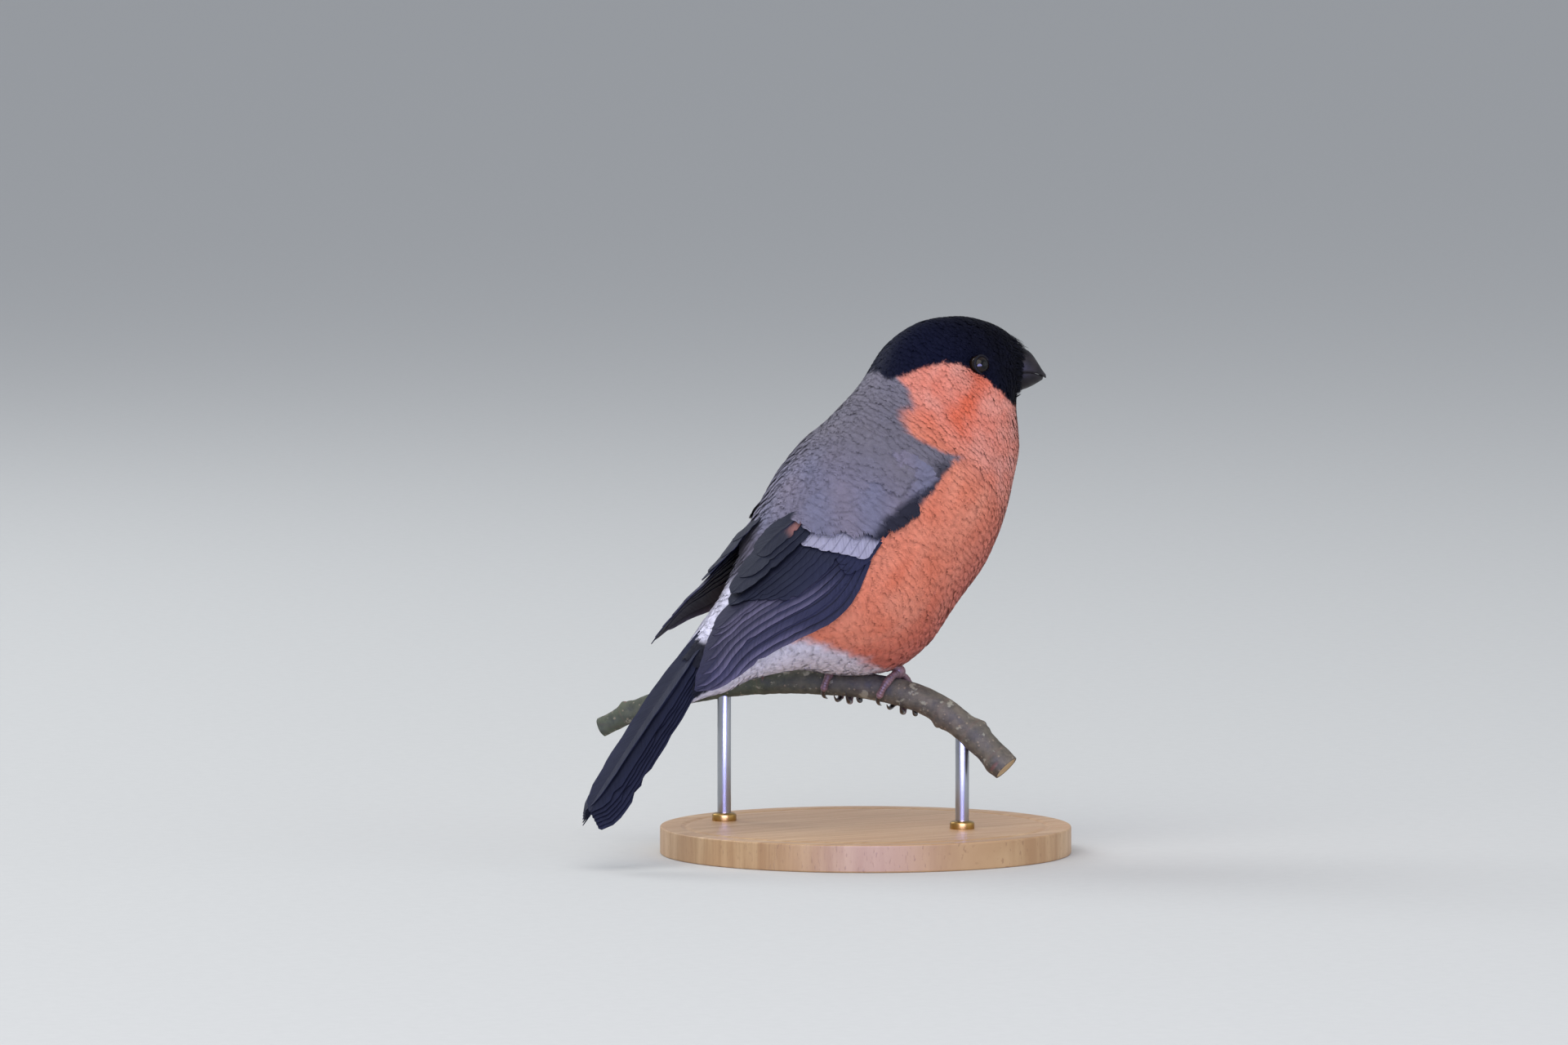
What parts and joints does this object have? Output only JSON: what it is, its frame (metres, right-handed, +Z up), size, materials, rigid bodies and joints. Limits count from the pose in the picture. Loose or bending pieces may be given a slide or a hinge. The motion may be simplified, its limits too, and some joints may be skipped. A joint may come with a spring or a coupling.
{
  "type": "bullfinch",
  "caption": "Life-size still model of a male bullfinch, sitting upright with its head turned, gripping a cut twig held on a small round display stand.",
  "frame": {"origin": "centre of the round underside of the display stand, directly below the twig between the two feet", "axes": "+Z up, +X the way the bird's body points, +Y the bird's left side"},
  "size_m": [0.1189, 0.097, 0.1169],
  "materials": {
    "cap_feathers": "glossy blue-black feathers",
    "cheek_feathers": "soft salmon-red feathers",
    "body_feathers": "soft orange-red breast and flanks, blue-grey back, white rump and vent",
    "flight_feathers": "smooth blue-black vanes with a slight sheen",
    "bill_horn": "smooth black horn",
    "eye_surface": "wet dark brown, nearly black",
    "leg_scales": "dull pinkish-brown scales",
    "claw_horn": "smooth dark horn",
    "twig_bark": "thin grey-green bark with lichen patches",
    "stand_wood": "turned and oiled pale wood",
    "stand_steel": "plain brushed rod"
  },
  "bodies": {
    "root": {"head": "cap_feathers", "neck": "cheek_feathers", "torso": "body_feathers", "bill_upper": "bill_horn", "bill_lower": "bill_horn", "eye_left": "eye_surface", "eye_right": "eye_surface", "tail": "flight_feathers", "wing_left": "flight_feathers", "wing_right": "flight_feathers", "leg_left": "leg_scales", "foot_left": "leg_scales", "claw_left_inner": "claw_horn", "claw_left_middle": "claw_horn", "claw_left_outer": "claw_horn", "claw_left_hind": "claw_horn", "leg_right": "leg_scales", "foot_right": "leg_scales", "claw_right_inner": "claw_horn", "claw_right_middle": "claw_horn", "claw_right_outer": "claw_horn", "claw_right_hind": "claw_horn", "perch_twig": "twig_bark", "stand_base": "stand_wood", "stand_rod_1": "stand_steel", "stand_rod_2": "stand_steel"}
  },
  "joints": []
}
